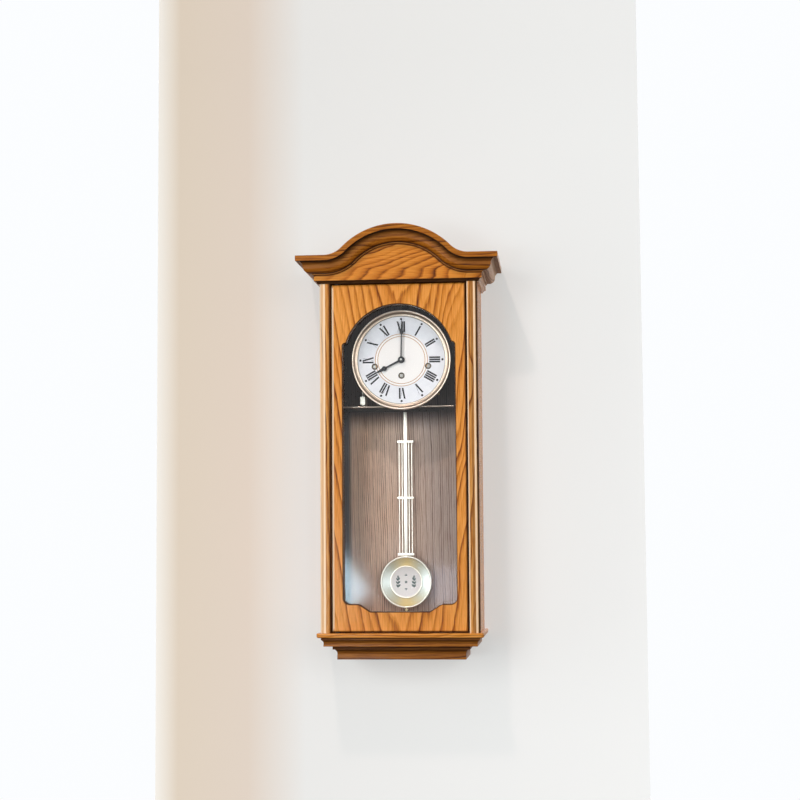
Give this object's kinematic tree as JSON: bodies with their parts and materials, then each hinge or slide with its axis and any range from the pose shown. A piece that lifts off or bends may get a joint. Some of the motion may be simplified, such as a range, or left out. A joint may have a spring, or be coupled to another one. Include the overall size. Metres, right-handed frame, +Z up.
{
  "type": "pendulum wall clock",
  "caption": "Oak wall clock with an arched crown, a glazed door, a round dial with Roman numerals, a gridiron pendulum and a chiming movement.",
  "frame": {"origin": "hanging hole of the keyhole plate, in the plane of the wall", "axes": "+X right as seen from the front, +Y into the wall, +Z up"},
  "size_m": [0.299, 0.16, 0.6405],
  "materials": {
    "oak": "golden oak, satin lacquer",
    "oak_dark": "dark stained inner face",
    "glass": "clear pane",
    "brass": "polished and lacquered",
    "brass_wheel": "turned and milled",
    "steel": "bright steel",
    "iron": "black painted iron",
    "dial": "white and silvered dial",
    "black": "black hands",
    "bronze": "drawn bronze rods",
    "enamel": "white medallion with a gilt rim"
  },
  "bodies": {
    "case": {"left_side": "oak", "right_side": "oak", "case_top_board": "oak", "back_panel": "oak_dark", "hanger_plate": "steel", "left_column": "oak", "right_column": "oak", "crown_frieze_front": "oak", "crown_frieze_left": "oak", "crown_frieze_right": "oak", "crown_arch_moulding": "oak", "crown_return_left": "oak", "crown_return_right": "oak", "crown_cover_board": "oak", "base_plate": "oak", "base_cove": "oak", "base_foot": "oak", "door_pivots": "brass", "magnetic_catch": "iron", "dial_plate": "dial", "dial_bezel": "brass", "winding_grommets": "brass", "front_plate": "brass_wheel", "back_plate": "brass_wheel", "movement_pillars": "steel", "movement_standoffs": "steel", "strike_barrel": "brass_wheel", "chime_barrel": "brass_wheel", "suspension_cock": "brass", "suspension_spring": "steel", "chime_block": "iron", "chime_rods": "bronze"},
    "door": {"door_panel": "oak", "door_glass": "glass", "glass_beads": "oak", "strike_plate": "steel"},
    "minute_work": {"cannon_pinion": "brass_wheel", "minute_hand": "black"},
    "minute_wheel": {"minute_wheel": "brass_wheel"},
    "hour_work": {"hour_wheel": "brass_wheel", "hour_hand": "black"},
    "centre_wheel": {"centre_wheel": "brass_wheel", "hand_nut": "steel"},
    "third_wheel": {"third_wheel": "steel"},
    "escape_wheel": {"escape_wheel": "steel"},
    "time_barrel": {"time_barrel": "brass_wheel"},
    "anchor": {"anchor": "steel"},
    "pendulum": {"pendulum_bar": "brass", "pendulum_rods": "brass", "pendulum_cross_bars": "brass"},
    "bob": {"pendulum_bob": "brass", "bob_medallion": "enamel"},
    "rating_nut": {"rating_nut": "brass"},
    "winding_arbor_time": {"winding_arbor_time": "steel"},
    "winding_arbor_strike": {"winding_arbor_strike": "steel"},
    "winding_arbor_chime": {"winding_arbor_chime": "steel"},
    "chime_hammer_1": {"chime_hammer_1": "brass"},
    "chime_hammer_2": {"chime_hammer_2": "brass"},
    "chime_hammer_3": {"chime_hammer_3": "brass"},
    "chime_hammer_4": {"chime_hammer_4": "brass"}
  },
  "joints": [
    {"name": "door_hinge", "type": "hinge", "parent": "case", "child": "door", "pos_m": [-0.092, -0.1224, -0.2405], "axis": [0, 0, -1], "range_deg": [0, 110]},
    {"name": "minute_hand_turn", "type": "hinge", "parent": "case", "child": "minute_work", "pos_m": [0, -0.075, -0.092], "axis": [0, 1, 0], "continuous": true},
    {"name": "minute_wheel_turn", "type": "hinge", "parent": "case", "child": "minute_wheel", "pos_m": [0, -0.075, -0.0752], "axis": [0, 1, 0], "continuous": true},
    {"name": "hour_hand_turn", "type": "hinge", "parent": "case", "child": "hour_work", "pos_m": [0, -0.078, -0.092], "axis": [0, 1, 0], "continuous": true},
    {"name": "escape_wheel_turn", "type": "hinge", "parent": "case", "child": "escape_wheel", "pos_m": [0, -0.05, -0.07], "axis": [0, 1, 0], "continuous": true},
    {"name": "third_wheel_turn", "type": "hinge", "parent": "case", "child": "third_wheel", "pos_m": [0.01729, -0.05, -0.07965], "axis": [0, 1, 0], "continuous": true},
    {"name": "centre_wheel_turn", "type": "hinge", "parent": "case", "child": "centre_wheel", "pos_m": [0, -0.05, -0.092], "axis": [0, 1, 0], "continuous": true},
    {"name": "time_barrel_turn", "type": "hinge", "parent": "case", "child": "time_barrel", "pos_m": [0, -0.06, -0.1157], "axis": [0, 1, 0], "continuous": true},
    {"name": "pendulum_swing", "type": "hinge", "parent": "case", "child": "pendulum", "pos_m": [0, -0.0253, -0.052], "axis": [0, 1, 0], "range_deg": [-3, 3]},
    {"name": "anchor_swing", "type": "hinge", "parent": "case", "child": "anchor", "pos_m": [0, -0.05, -0.052], "axis": [0, 1, 0], "range_deg": [-3, 3]},
    {"name": "bob_slide", "type": "slide", "parent": "pendulum", "child": "bob", "axis": [0, 0, -1], "range_m": [0, 0.003]},
    {"name": "rating_nut_turn", "type": "hinge", "parent": "bob", "child": "rating_nut", "pos_m": [0, -0.0253, -0.4662], "axis": [0, 0, 1], "range_deg": [0, 1080]},
    {"name": "winding_time", "type": "hinge", "parent": "case", "child": "winding_arbor_time", "pos_m": [0, -0.06, -0.1157], "axis": [0, 1, 0], "continuous": true},
    {"name": "winding_strike", "type": "hinge", "parent": "case", "child": "winding_arbor_strike", "pos_m": [-0.0404, -0.06, -0.1017], "axis": [0, 1, 0], "continuous": true},
    {"name": "winding_chime", "type": "hinge", "parent": "case", "child": "winding_arbor_chime", "pos_m": [0.0404, -0.06, -0.1017], "axis": [0, 1, 0], "continuous": true},
    {"name": "hammer_1_lift", "type": "hinge", "parent": "case", "child": "chime_hammer_1", "pos_m": [-0.038, -0.066, -0.136], "axis": [0, 1, 0], "range_deg": [0, 10]},
    {"name": "hammer_2_lift", "type": "hinge", "parent": "case", "child": "chime_hammer_2", "pos_m": [-0.038, -0.059, -0.136], "axis": [0, 1, 0], "range_deg": [0, 10]},
    {"name": "hammer_3_lift", "type": "hinge", "parent": "case", "child": "chime_hammer_3", "pos_m": [-0.038, -0.052, -0.136], "axis": [0, 1, 0], "range_deg": [0, 10]},
    {"name": "hammer_4_lift", "type": "hinge", "parent": "case", "child": "chime_hammer_4", "pos_m": [-0.038, -0.045, -0.136], "axis": [0, 1, 0], "range_deg": [0, 10]}
  ],
  "couplings": [
    {"joint": "minute_wheel_turn", "follows": "minute_hand_turn", "ratio": -0.33333},
    {"joint": "hour_hand_turn", "follows": "minute_hand_turn", "ratio": 0.083333},
    {"joint": "third_wheel_turn", "follows": "escape_wheel_turn", "ratio": -0.1},
    {"joint": "centre_wheel_turn", "follows": "escape_wheel_turn", "ratio": 0.013333},
    {"joint": "time_barrel_turn", "follows": "escape_wheel_turn", "ratio": -0.0016667},
    {"joint": "anchor_swing", "follows": "pendulum_swing", "ratio": 1},
    {"joint": "rating_nut_turn", "follows": "bob_slide", "rad_per_m": 6283.2}
  ]
}
